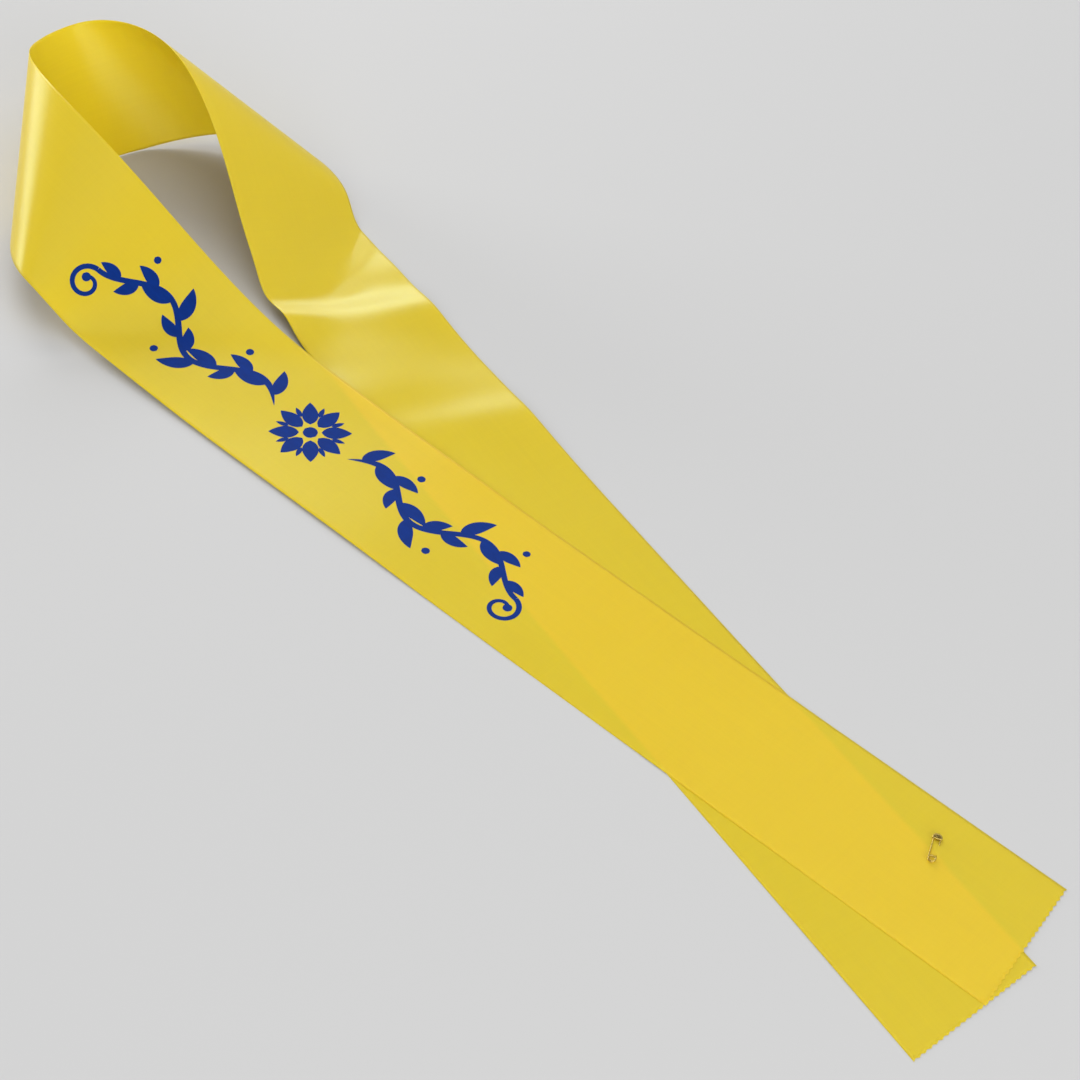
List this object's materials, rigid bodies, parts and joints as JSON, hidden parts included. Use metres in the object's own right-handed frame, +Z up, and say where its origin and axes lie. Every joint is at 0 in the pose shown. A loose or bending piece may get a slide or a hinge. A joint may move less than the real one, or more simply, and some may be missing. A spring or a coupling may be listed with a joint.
{
  "type": "satin parade sash",
  "caption": "One long satin ribbon with pinked ends, laid as a neck loop whose two tails cross and are held by a small safety pin.",
  "frame": {"origin": "centre of the bounding box, on the table that the sash lies on", "axes": "+Z up from the table; +Y along the sash, from the two tail ends towards the neck loop; +X to the right seen from above with the loop at the top"},
  "size_m": [0.2366, 0.8654, 0.0992],
  "materials": {
    "satin": "glossy golden yellow satin weave, the same on both faces",
    "print_blue": "matt dark blue ink, printed flat on the satin",
    "pin_brass": "polished brass-plated wire and cap"
  },
  "bodies": {
    "root": {"sash_band": "satin", "safety_pin": "pin_brass"}
  },
  "joints": []
}
